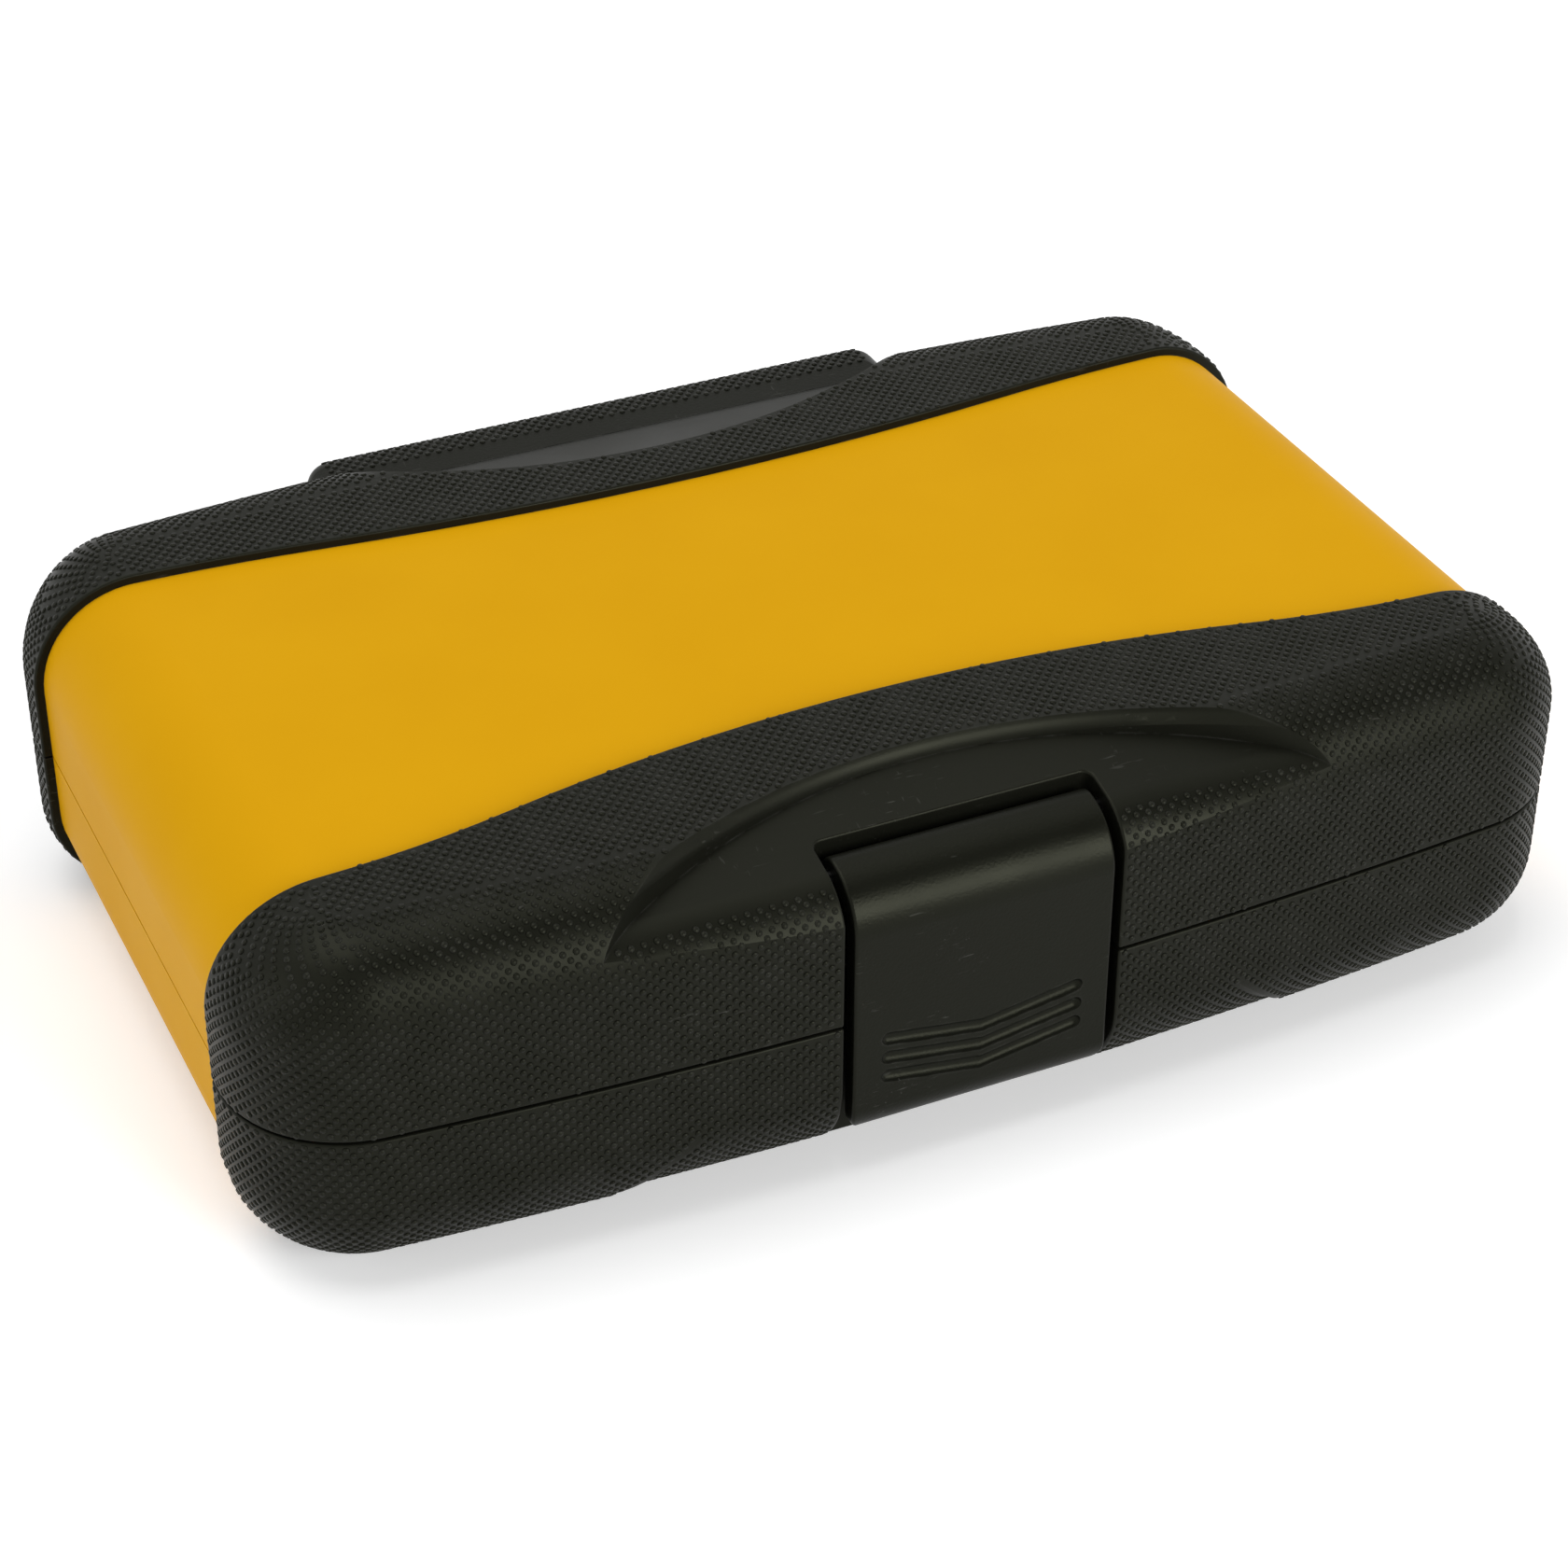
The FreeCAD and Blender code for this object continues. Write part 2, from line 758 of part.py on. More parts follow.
def latch_front_form():
    """Front view of the latch with round lower corners."""
    half = latch_width / 2
    form = box(-half, half, -span, span, -latch_drop, lid_height)
    low = [e for e in form.Edges if e.BoundBox.YLength > span and e.BoundBox.ZMax < 0]
    return form.makeFillet(latch_corner_round, low)


def grooves():
    """Finger grooves: shallow half-round arrows pointing down, with round ends."""
    face = front_face - scoop_nose_lead + latch_sink
    radius = (groove_width ** 2 / 4 + groove_depth ** 2) / (2 * groove_depth)
    cuts = []
    for i in range(groove_count):
        tip = Vector(0, face + groove_depth - radius, -(groove_first + groove_point + i * groove_pitch))
        groove = Part.makeSphere(radius, tip)
        for side in (-1, 1):
            arm = Vector(side * groove_half_span, 0, groove_point)
            groove = groove.fuse([
                Part.makeCylinder(radius, arm.Length, tip, arm),
                Part.makeSphere(radius, tip + arm),
            ])
        cuts.append(groove)
    return cuts


def make_latch():
    pivot = pivot_point()
    half = latch_width / 2
    inside = front_face - scoop_nose_lead + latch_sink + latch_thickness
    top = -(keeper_drop + keeper_height + hook_below_keeper)
    hook = box(-hook_length / 2, hook_length / 2, inside - latch_thickness / 2, inside + hook_depth,
               top - hook_height, top)
    bore = rod(latch_pin_radius + running_clearance, -half, half, pivot.y, pivot.z)
    return latch_body().fuse(hook).cut([bore] + grooves())


# Assembly
def build():
    """All pieces by name, in the frame of the half they belong to."""
    lid_outer = lid_form(0)
    base_outer = base_form(0)
    lid_skin = lid_form(bumper_thickness).cut(lid_outer)
    base_skin = base_bumper_form().cut(base_outer)
    latch_pin = make_latch_pin()
    lid_block = block_form(lid_block_height)
    base_block = flip(block_form(base_block_height))
    front, rear, channel, well = front_region(), rear_region(), latch_channel(0), pivot_well(0)
    base_front = softened(base_skin.common(front), base_outer, [front, channel])
    lid_front = softened(lid_skin.common(front), lid_outer, [front, channel, well])
    base_cuts = [flip(cut) for cut in hinge_screw_cuts(-base_screw_drop)]
    base_hinge = hinge_block(flip(base_block), 0, hinge_pin_radius, flip(base_outer), base_cuts)
    base = {
        "base_shell": make_base_shell(base_outer),
        "base_front_bumper": base_front.cut(keeper_pegs()),
        "base_rear_bumper": softened(base_skin.common(rear).cut(base_block), base_outer, [rear]),
        "base_hinge_block": flip(base_hinge),
        "base_hinge_screws": hinge_screws(-base_screw_drop),
        "hinge_pin": make_hinge_pin(),
        "latch_keeper": make_keeper(),
        "tool_tray": make_tray(),
        "tray_screws": make_tray_screws(),
    }
    lid_cuts = hinge_screw_cuts(lid_screw_height)
    lid_bore = hinge_pin_radius + running_clearance
    lid = {
        "lid_shell": make_lid_shell(lid_outer),
        "lid_front_bumper": lid_front.cut(latch_pin),
        "lid_rear_bumper": softened(lid_skin.common(rear).cut(lid_block), lid_outer, [rear]),
        "lid_hinge_block": hinge_block(lid_block_form(), 1, lid_bore, lid_outer, lid_cuts),
        "lid_hinge_screws": hinge_screws(lid_screw_height),
        "latch_pin": latch_pin,
        "latch": make_latch(),
    }
    return base, lid


def save(name, shape, rise):
    shape = shape.copy()
    shape.translate(Vector(0, -frame_shift, floor_drop + rise))
    shape.exportStep("parts/" + name + ".step")


def main():
    os.makedirs("parts", exist_ok=True)
    base, lid = build()
    for name, shape in base.items():
        save(name, shape, 0)
    for name, shape in lid.items():
        save(name, shape, parting_gap)


main()
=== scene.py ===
"""Finishes a hinged tool case: moulded shells, dotted grip bumpers, latch, hinge and tray.

Lengths are in metres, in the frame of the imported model: X along the case, the latch at -Y, Z up.
"""
import itertools
import math

import bpy
from mathutils import Matrix, Vector


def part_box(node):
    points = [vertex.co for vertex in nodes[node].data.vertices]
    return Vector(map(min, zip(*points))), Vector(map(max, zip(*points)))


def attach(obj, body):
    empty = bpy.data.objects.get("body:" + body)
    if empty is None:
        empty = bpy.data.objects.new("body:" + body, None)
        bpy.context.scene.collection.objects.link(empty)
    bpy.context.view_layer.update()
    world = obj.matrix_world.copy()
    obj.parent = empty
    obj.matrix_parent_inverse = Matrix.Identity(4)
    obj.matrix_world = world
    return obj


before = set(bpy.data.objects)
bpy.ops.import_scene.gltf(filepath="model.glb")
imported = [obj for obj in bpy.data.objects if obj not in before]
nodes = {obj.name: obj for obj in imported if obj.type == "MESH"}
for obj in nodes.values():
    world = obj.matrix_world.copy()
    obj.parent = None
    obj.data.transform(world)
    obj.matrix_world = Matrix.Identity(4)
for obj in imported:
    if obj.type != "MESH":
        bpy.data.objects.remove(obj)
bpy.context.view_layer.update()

bl_info = {
    "name": "Tool Case Finish",
    "version": (1, 0, 0),
    "blender": (4, 5, 0),
    "location": "3D View > Sidebar > Tool Case",
    "description": "Finishes a hinged tool case and sets up its studio stage",
    "category": "Object",
}

MM = 0.001

# Form of the case that the grip dots follow
SKIN = 1.5 * MM
SHELL_HALF_DEPTH = 67.5 * MM
EDGE_BOW = 5.6 * MM
SHELL_CORNER = 17.5 * MM
LID_LONG_ROUND = 10.8 * MM
LID_END_ROUND = 15.6 * MM
BASE_ROUND = 14 * MM
FOOT_DROP = 1.0 * MM
HALF_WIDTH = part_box("base_front_bumper")[1].x
HALF_DEPTH = SHELL_HALF_DEPTH + SKIN
BOW_CHORD = HALF_WIDTH - SKIN
BOW_RADIUS = (BOW_CHORD ** 2 + EDGE_BOW ** 2) / (2 * EDGE_BOW) + SKIN
CORNER_RADIUS = SHELL_CORNER + SKIN
LID_LONG_SHOULDER = LID_LONG_ROUND + SKIN
LID_END_SHOULDER = LID_END_ROUND + SKIN
BASE_SHOULDER = BASE_ROUND + SKIN
MIDDLE_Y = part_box("base_shell")[1].y - SHELL_HALF_DEPTH

# Hinge block of the lid: rounding of its rear edge, and how far the dots reach over its top
BLOCK_ROUND = 4 * MM
BLOCK_REACH = 7 * MM

# Half width of the latch pocket, which stays free of dots on the base
POCKET_MARGIN = 1.9 * MM
POCKET_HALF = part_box("latch")[1].x + POCKET_MARGIN

# Plain strip along the rim of the base
BASE_RIM_MARGIN = 2.2 * MM

# Height on the nose of the scoops up to which the dots go
NOSE_RISE = 21.6 * MM
NOSE_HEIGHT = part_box("lid_front_bumper")[0].z + NOSE_RISE

# How far down the underside of the base the dots go, from the wall
UNDERSIDE_TURN = math.radians(72)

# Room that a dot may lie off the plain form, and the unevenness that it may have round it
FACE_SLACK = 0.12 * MM
NOSE_SLACK = 2.6 * MM
CORNER_SLACK = 2 * MM
LEVEL_SLACK = 0.16 * MM
CAST_REACH = 3 * MM

# Noise of the shared effects: detail, and the limits between which it turns from 0 to 1
GRAIN_DETAIL = 2.0
TONE_DETAIL = 3.0
TONE_LIMITS = (0.3, 0.7)
EDGE_LIMITS = (0.02, 0.25)
EDGE_SAMPLES = 4
PATCH_DETAIL = 4.0
PATCH_LIMITS = (0.42, 0.7)
MARK_DETAIL = 1.0
RUB_DETAIL = 2.0
RUB_LIMITS = (0.56, 0.72)

# Two directions of rub marks: turn and stretch of their noise, and its limits
RUB_DIRECTIONS = (
    ((0.4, 0.3, 0.5), (0.12, 1.0, 1.0), (0.68, 0.74)),
    ((-0.3, 0.5, -0.7), (1.0, 0.1, 1.0), (0.7, 0.76)),
)

# Each finish: sizes of clouds, wear patches and marks, shares of wear, limits of roughness, sheen and bump
SHELL = {"clouds": 28 * MM, "patches": 6 * MM, "worn_share": 0.5, "roughness": (0.42, 0.48), "sheen": 0.02,
         "bump_depth": 0.02 * MM, "bump_share": 0.25}
RUBBER = {"clouds": 18 * MM, "patches": 5 * MM, "worn_share": 0.35, "roughness": (0.36, 0.42), "sheen": 0.11,
          "bump_depth": 0.03 * MM, "bump_share": 0.3,
          "marks": 0.5 * MM, "mark_patches": 14 * MM, "marked_share": 0.3}
LATCH = {"clouds": 10 * MM, "patches": 3 * MM, "worn_share": 0.4, "roughness": (0.34, 0.4), "sheen": 0.11,
         "bump_depth": 0.06 * MM, "bump_share": 0.6,
         "marks": 0.4 * MM, "mark_patches": 9 * MM, "marked_share": 0.35}
TRAY = {"clouds": 20 * MM, "patches": 4 * MM, "worn_share": 0.4, "roughness": (0.45, 0.55),
        "bump_depth": 0.03 * MM, "bump_share": 0.3}
STEEL = {"clouds": 3 * MM, "grain": 0.15 * MM, "roughness": (0.24, 0.36),
         "bump_depth": 0.01 * MM, "bump_share": 0.2}

# Stage: lamps with their place, size and power, the dark panel, the floor and the camera's fixed values
LAMP_TARGET = (0, 0, 0.03)
LAMPS = {
    "top_softbox": ((-0.25, 0.15, 1.3), 1.0, 8.5),
    "left_softbox": ((-1.4, 0.1, 0.35), 0.8, 3),
    "front_softbox": ((0.45, -1.19, 0.5), 0.7, 14),
}
PANEL_HALF_SIZE = (1.7, 0.95)
PANEL_PLACE = (0.9, -1.43, 1.98)
PANEL_TILT = math.radians(36)
PANEL_COLOUR = (0.005, 0.005, 0.005)
FLOOR_GLOW = 0.3
MATT_ROUGHNESS = 0.9
WHITE = (1, 1, 1, 1)
SENSOR_WIDTH = 36
NEAR_CLIP = 0.01


class GripSettings(bpy.types.PropertyGroup):
    """Dots of the grip pattern."""

    column_pitch: bpy.props.FloatProperty(
        name="Column Pitch", description="Distance between neighbouring columns of dots",
        default=0.95 * MM, unit="LENGTH", precision=5)
    row_pitch: bpy.props.FloatProperty(
        name="Row Pitch", description="Distance between the dots of one column",
        default=1.95 * MM, unit="LENGTH", precision=5)
    dot_diameter: bpy.props.FloatProperty(
        name="Dot Diameter", description="Width of a dot at its foot",
        default=1.1 * MM, unit="LENGTH", precision=5)
    crown_diameter: bpy.props.FloatProperty(
        name="Crown Diameter", description="Width of a dot at its top",
        default=0.8 * MM, unit="LENGTH", precision=5)
    dot_height: bpy.props.FloatProperty(
        name="Dot Height", description="Height of a dot above the skin",
        default=0.19 * MM, unit="LENGTH", precision=5)
    dot_sink: bpy.props.FloatProperty(
        name="Dot Sink", description="Depth by which a dot is rooted in the skin",
        default=0.08 * MM, unit="LENGTH", precision=5)
    dot_sides: bpy.props.IntProperty(
        name="Dot Sides", description="Sides of a dot", default=8, min=5)
    clear_margin: bpy.props.FloatProperty(
        name="Clear Margin", description="Plain skin that a dot needs all round its middle",
        default=0.5 * MM, unit="LENGTH", precision=5)
    least_gap: bpy.props.FloatProperty(
        name="Least Gap", description="Dots nearer than this to another are left out",
        default=1.15 * MM, unit="LENGTH", precision=5)


class FinishSettings(bpy.types.PropertyGroup):
    """Colours and grain of the materials."""

    shell_colour: bpy.props.FloatVectorProperty(
        name="Shell Colour", description="Yellow of the two shells", subtype="COLOR",
        size=3, min=0, max=1, default=(0.68, 0.345, 0.003))
    shell_shade: bpy.props.FloatVectorProperty(
        name="Shell Shade", description="Deeper yellow that clouds the shells", subtype="COLOR",
        size=3, min=0, max=1, default=(0.66, 0.33, 0.003))
    shell_wear: bpy.props.FloatVectorProperty(
        name="Shell Wear", description="Paler yellow along worn shell edges", subtype="COLOR",
        size=3, min=0, max=1, default=(0.80, 0.48, 0.06))
    rubber_colour: bpy.props.FloatVectorProperty(
        name="Rubber Colour", description="Black of the grip bumpers", subtype="COLOR",
        size=3, min=0, max=1, default=(0.0048, 0.0050, 0.0035))
    rubber_shade: bpy.props.FloatVectorProperty(
        name="Rubber Shade", description="Lighter black that clouds the bumpers", subtype="COLOR",
        size=3, min=0, max=1, default=(0.0058, 0.0060, 0.0042))
    rubber_wear: bpy.props.FloatVectorProperty(
        name="Rubber Wear", description="Grey of rubbed bumper edges", subtype="COLOR",
        size=3, min=0, max=1, default=(0.11, 0.11, 0.1))
    latch_colour: bpy.props.FloatVectorProperty(
        name="Latch Colour", description="Black of the latch and the hinge blocks", subtype="COLOR",
        size=3, min=0, max=1, default=(0.0040, 0.0042, 0.0029))
    tray_colour: bpy.props.FloatVectorProperty(
        name="Tray Colour", description="Dark grey of the tool tray", subtype="COLOR",
        size=3, min=0, max=1, default=(0.028, 0.028, 0.027))
    steel_colour: bpy.props.FloatVectorProperty(
        name="Steel Colour", description="Bright steel of the pins and screws", subtype="COLOR",
        size=3, min=0, max=1, default=(0.56, 0.56, 0.54))
    pin_colour: bpy.props.FloatVectorProperty(
        name="Pin Colour", description="Blackened steel of the latch pin", subtype="COLOR",
        size=3, min=0, max=1, default=(0.02, 0.02, 0.019))
    black_sheen: bpy.props.FloatVectorProperty(
        name="Black Sheen", description="Tint of the sheen on the black pieces", subtype="COLOR",
        size=3, min=0, max=1, default=(0.97, 1.0, 0.74))
    shell_grain: bpy.props.FloatProperty(
        name="Shell Grain", description="Size of the moulded grain on the shells",
        default=0.35 * MM, unit="LENGTH", precision=5)
    rubber_grain: bpy.props.FloatProperty(
        name="Rubber Grain", description="Size of the grain on the bumpers",
        default=0.25 * MM, unit="LENGTH", precision=5)
    latch_grain: bpy.props.FloatProperty(
        name="Latch Grain", description="Size of the spark-eroded grain on the latch",
        default=0.45 * MM, unit="LENGTH", precision=5)
    edge_width: bpy.props.FloatProperty(
        name="Edge Width", description="Width of the wear along edges",
        default=0.5 * MM, unit="LENGTH", precision=5)


class StageSettings(bpy.types.PropertyGroup):
    """Floor, lights and camera."""

    camera_azimuth: bpy.props.FloatProperty(
        name="Azimuth", description="Camera's turn about the case, from the front",
        default=math.radians(-24.81), subtype="ANGLE")
    camera_elevation: bpy.props.FloatProperty(
        name="Elevation", description="Camera's height above the horizon",
        default=math.radians(34.43), subtype="ANGLE")
    camera_roll: bpy.props.FloatProperty(
        name="Roll", description="Camera's turn about its own line of sight",
        default=math.radians(0.17), subtype="ANGLE")
    camera_distance: bpy.props.FloatProperty(
        name="Distance", description="Distance from the camera to its target",
        default=0.56792, unit="LENGTH")
    camera_target: bpy.props.FloatVectorProperty(
        name="Target", description="Point at the middle of the picture", subtype="TRANSLATION",
        size=3, default=(-0.00099, -0.0091, 0.02212))
    camera_lens: bpy.props.FloatProperty(
        name="Lens", description="Focal length on a sensor 36 mm wide",
        default=84.16, unit="CAMERA")
    floor_size: bpy.props.FloatProperty(
        name="Floor Size", description="Side of the pale floor", default=6.0, unit="LENGTH")
    floor_colour: bpy.props.FloatVectorProperty(
        name="Floor Colour", description="Paint of the floor", subtype="COLOR",
        size=3, min=0, max=1, default=(0.9, 0.9, 0.9))
    ambient: bpy.props.FloatProperty(
        name="Ambient", description="Brightness of the white surroundings as a light", default=0.45, min=0)


# Outline of the case, worked out from the middle of a long side
def bow_line(x):
    """Distance of the bowed long side from the middle plane."""
    return HALF_DEPTH - BOW_RADIUS + math.sqrt(BOW_RADIUS ** 2 - x ** 2)


def corner_centre():
    """Centre of the corner rounding: along the case, and out from the middle plane."""
    x = HALF_WIDTH - CORNER_RADIUS
    reach = math.sqrt((BOW_RADIUS - CORNER_RADIUS) ** 2 - x ** 2)
    return x, HALF_DEPTH - BOW_RADIUS + reach


def corner_start():
    """Angle at which the long side runs into the corner, and the x where it does."""
    x, _ = corner_centre()
    angle = math.asin(x / (BOW_RADIUS - CORNER_RADIUS))
    return angle, x + CORNER_RADIUS * math.sin(angle)


def outline_point(walk):
    """Place, outward direction and share of the end shoulder at a walk along the outline from mid side."""
    angle, start = corner_start()
    if walk <= start:
        lean = math.asin(walk / BOW_RADIUS)
        return (walk, bow_line(walk)), (math.sin(lean), math.cos(lean)), 0
    x, out = corner_centre()
    round_length = CORNER_RADIUS * (math.pi / 2 - angle)
    past = walk - start
    if past < round_length:
        turn = angle + past / CORNER_RADIUS
        place = (x + CORNER_RADIUS * math.sin(turn), out + CORNER_RADIUS * math.cos(turn))
        return place, (math.sin(turn), math.cos(turn)), past / round_length
    return (HALF_WIDTH, out - (past - round_length)), (1, 0), 1


class Half:
    """Plain form of one half of the case, seen from its front or its rear."""

    def __init__(self, bumper, facing, up, shoulder, end_shoulder):
        low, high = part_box(bumper)
        self.facing = facing
        self.up = up
        self.shoulder = shoulder
        self.end_shoulder = end_shoulder
        self.rim = low.z if up > 0 else high.z
        self.plane = high.z if up > 0 else low.z + FOOT_DROP
        self.inner = min(abs(low.y - MIDDLE_Y), abs(high.y - MIDDLE_Y))

    def place(self, x, out, z):
        """Point at a distance out from the middle plane."""
        return Vector((x, MIDDLE_Y + self.facing * out, z))

    def direction(self, x, out, z):
        """Direction with its part out from the middle plane."""
        return Vector((x, self.facing * out, z))


def skin_guide(half, walk, side, run):
    """Guide point on the shoulder or the wall, at a run from the edge of the flat."""
    (x, out), (lean_x, lean_out), share = outline_point(walk)
    radius = half.shoulder + (half.end_shoulder - half.shoulder) * share
    quarter = radius * math.pi / 2
    if run < quarter:
        turn = run / radius
        inset = radius * (1 - math.sin(turn))
        drop = radius * (1 - math.cos(turn))
    else:
        turn = math.pi / 2
        inset = 0
        drop = radius + run - quarter
    point = half.place(side * (x - lean_x * inset), out - lean_out * inset, half.plane - half.up * drop)
    level, upright = math.sin(turn), math.cos(turn)
    outward = half.direction(side * lean_x * level, lean_out * level, half.up * upright)
    along = half.direction(side * lean_out, -lean_x, 0)
    return point, outward, along


def column_runs(first, last, phase, pitch, odd):
    """Runs of the dots of one column between two limits, in step with the rows on the flat."""
    offset = phase + (pitch / 2 if odd else 0)
    row = math.ceil((first - offset) / pitch)
    runs = []
    while offset + row * pitch < last:
        runs.append(offset + row * pitch)
        row += 1
    return runs


def wall_guides(half, grip):
    """Guides of all columns round one bumper, over the shoulder and down the wall."""
    angle, start = corner_start()
    _, corner_out = corner_centre()
    height = abs(half.plane - half.rim) - (0 if half.up > 0 else BASE_RIM_MARGIN)
    round_length = CORNER_RADIUS * (math.pi / 2 - angle)
    length = start + round_length + corner_out - half.inner
    guides = []
    for column in range(int(length / grip.column_pitch) + 1):
        walk = column * grip.column_pitch
        anchor = bow_line(min(walk, start)) - half.shoulder
        share = outline_point(walk)[2]
        radius = half.shoulder + (half.end_shoulder - half.shoulder) * share
        quarter = radius * math.pi / 2
        first = 0 if half.up > 0 else quarter - radius * UNDERSIDE_TURN
        plain = half.up > 0 and walk <= start
        slacks = (FACE_SLACK, NOSE_SLACK) if plain else (CORNER_SLACK, 0)
        for run in column_runs(first, quarter + height, -anchor, grip.row_pitch, column % 2):
            for side in (-1, 1) if column else (1,):
                guides.append(skin_guide(half, walk, side, run) + slacks)
    return guides


def flat_guides(half, grip):
    """Guides on the flat top of one bumper."""
    guides = []
    columns = int(HALF_WIDTH / grip.column_pitch)
    for column in range(-columns, columns + 1):
        x = column * grip.column_pitch
        for out in column_runs(half.inner, HALF_DEPTH, 0, grip.row_pitch, column % 2):
            point = half.place(x, out, half.plane)
            guides.append((point, Vector((0, 0, half.up)), Vector((1, 0, 0)), FACE_SLACK, 0))
    return guides


def block_guides(grip):
    """Guides on the top, the shoulder and the rear of the lid's hinge block."""
    low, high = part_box("lid_hinge_block")
    pin_low, pin_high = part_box("hinge_pin")
    wall = pin_low.y + (pin_high.y - pin_low.y) / 2
    quarter = BLOCK_ROUND * math.pi / 2
    columns = int(high.x / grip.column_pitch)
    guides = []
    for column in range(-columns, columns + 1):
        x = column * grip.column_pitch
        for run in column_runs(BLOCK_ROUND - BLOCK_REACH, high.z - low.z, 0, grip.row_pitch, column % 2):
            turn = min(max(run / BLOCK_ROUND, 0), math.pi / 2)
            inset = BLOCK_ROUND * (1 - math.sin(turn)) - min(run, 0)
            drop = BLOCK_ROUND * (1 - math.cos(turn)) + max(run - quarter, 0)
            outward = Vector((0, math.sin(turn), math.cos(turn)))
            point = Vector((x, wall - inset, high.z - drop))
            guides.append((point, outward, Vector((1, 0, 0)), FACE_SLACK, 0))
    return guides


def thinned(guides, gap):
    """Guides in order, without those too near to an earlier one."""
    cells = {}
    kept = []
    for guide in guides:
        point = guide[0]
        cell = tuple(int(math.floor(c / gap)) for c in point)
        near = []
        for step in itertools.product((-1, 0, 1), repeat=3):
            near += cells.get(tuple(map(sum, zip(cell, step))), [])
        if any((point - other).length < gap for other in near):
            continue
        cells.setdefault(cell, []).append(point)
        kept.append(guide)
    return kept


# Node trees
def add_node(tree, kind, settings=None, **inputs):
    """New node with its settings, and its inputs set or linked by socket name."""
    node = tree.nodes.new(kind)
    for name, value in (settings or {}).items():
        setattr(node, name, value)
    for name, value in inputs.items():
        connect(tree, node.inputs[name.replace("_", " ")], value)
    return node


def connect(tree, socket, value):
    """Links a socket to an output, or sets its value."""
    if isinstance(value, bpy.types.NodeSocket):
        tree.links.new(value, socket)
    else:
        socket.default_value = value


def operate(tree, kind, setting, choice, values):
    """Output of a node whose shown inputs take the values in order."""
    node = tree.nodes.new(kind)
    setattr(node, setting, choice)
    for socket, value in zip([s for s in node.inputs if s.enabled], values):
        connect(tree, socket, value)
    return next(socket for socket in node.outputs if socket.enabled)


def vector_math(tree, operation, *values):
    """Output of a vector operation."""
    return operate(tree, "ShaderNodeVectorMath", "operation", operation, values)


def scalar_math(tree, operation, *values):
    """Output of an operation on numbers."""
    return operate(tree, "ShaderNodeMath", "operation", operation, values)


def logic(tree, operation, *values):
    """Output of an operation on true and false."""
    return operate(tree, "FunctionNodeBooleanMath", "operation", operation, values)


def blended(tree, share, first, second):
    """Colour between two colours or colour outputs."""
    return operate(tree, "ShaderNodeMix", "data_type", "RGBA", (share, first, second))


def group_sockets(tree, inputs, outputs):
    """Named sockets of a node tree, each with its kind."""
    for direction, sockets in (("INPUT", inputs), ("OUTPUT", outputs)):
        for name, kind in sockets.items():
            tree.interface.new_socket(name, in_out=direction, socket_type=kind)


def named_attribute(tree, name, kind):
    """Value that each point carries under a name."""
    node = tree.nodes.new("GeometryNodeInputNamedAttribute")
    node.data_type = kind
    node.inputs["Name"].default_value = name
    return node.outputs["Attribute"]


